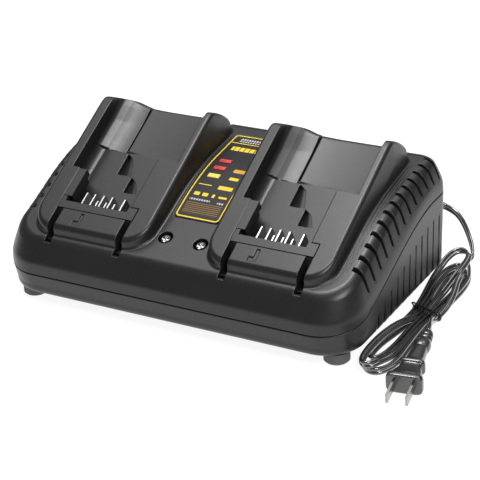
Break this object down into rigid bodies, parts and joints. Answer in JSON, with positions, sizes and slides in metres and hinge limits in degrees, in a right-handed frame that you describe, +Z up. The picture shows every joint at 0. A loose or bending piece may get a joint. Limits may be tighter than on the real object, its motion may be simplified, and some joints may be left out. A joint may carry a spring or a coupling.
{
  "type": "battery charger",
  "caption": "Wide dark grey mains charger for slide-on tool battery packs: wedge-shaped vented housing, sloping cradles with sunken bays and blade terminals, hanked cord and plug.",
  "frame": {"origin": "on the ground under the middle of the housing, between its four feet", "axes": "+Z up, -Y towards the user at the low front edge, +X to the user's right"},
  "size_m": [0.3271, 0.223, 0.1134],
  "materials": {
    "housing_plastic": "fine-textured dark grey ABS",
    "label_film": "satin black printed plate, left bare",
    "lens_red": "clear red lens",
    "screw_steel": "zinc plated",
    "holder_plastic": "moulded dark grey PBT",
    "blade_metal": "nickel plated",
    "foot_rubber": "soft black rubber",
    "board_laminate": "green solder mask on glass-fibre board",
    "core_ferrite": "dark grey ferrite, with a taped winding",
    "sink_aluminium": "extruded, bare",
    "component_black": "epoxy moulding",
    "capacitor_sleeve": "shrink sleeve",
    "choke_winding": "enamelled copper wire",
    "fuse_ceramic": "white ceramic tube",
    "lamp_plastic": "diffused lamp body",
    "cord_vinyl": "black PVC",
    "tie_vinyl": "black plastic-coated wire tie",
    "plug_vinyl": "moulded black PVC",
    "plug_brass": "nickel plated brass"
  },
  "bodies": {
    "root": {"upper_housing": "housing_plastic", "lower_housing": "housing_plastic", "label_plate": "label_film", "status_lenses": "lens_red", "panel_screws": "screw_steel", "terminal_holder_left": "holder_plastic", "terminal_holder_right": "holder_plastic", "terminal_blades_left": "blade_metal", "terminal_blades_right": "blade_metal", "rail_key_left": "housing_plastic", "rail_key_right": "housing_plastic", "housing_screws": "screw_steel", "foot_front_left": "foot_rubber", "foot_front_right": "foot_rubber", "foot_rear_left": "foot_rubber", "foot_rear_right": "foot_rubber", "main_board": "board_laminate", "board_screws": "screw_steel", "transformer_left": "core_ferrite", "transformer_right": "core_ferrite", "heat_sink_left": "sink_aluminium", "heat_sink_right": "sink_aluminium", "power_transistors": "component_black", "filter_capacitor": "capacitor_sleeve", "output_capacitors": "capacitor_sleeve", "mains_choke": "choke_winding", "fuse": "fuse_ceramic", "lamp_board": "board_laminate", "status_lamps": "lamp_plastic", "strain_relief": "cord_vinyl", "mains_cord": "cord_vinyl", "cord_hank": "cord_vinyl", "cord_tail": "cord_vinyl", "hank_tie": "tie_vinyl", "plug_body": "plug_vinyl", "plug_blades": "plug_brass"}
  },
  "joints": []
}
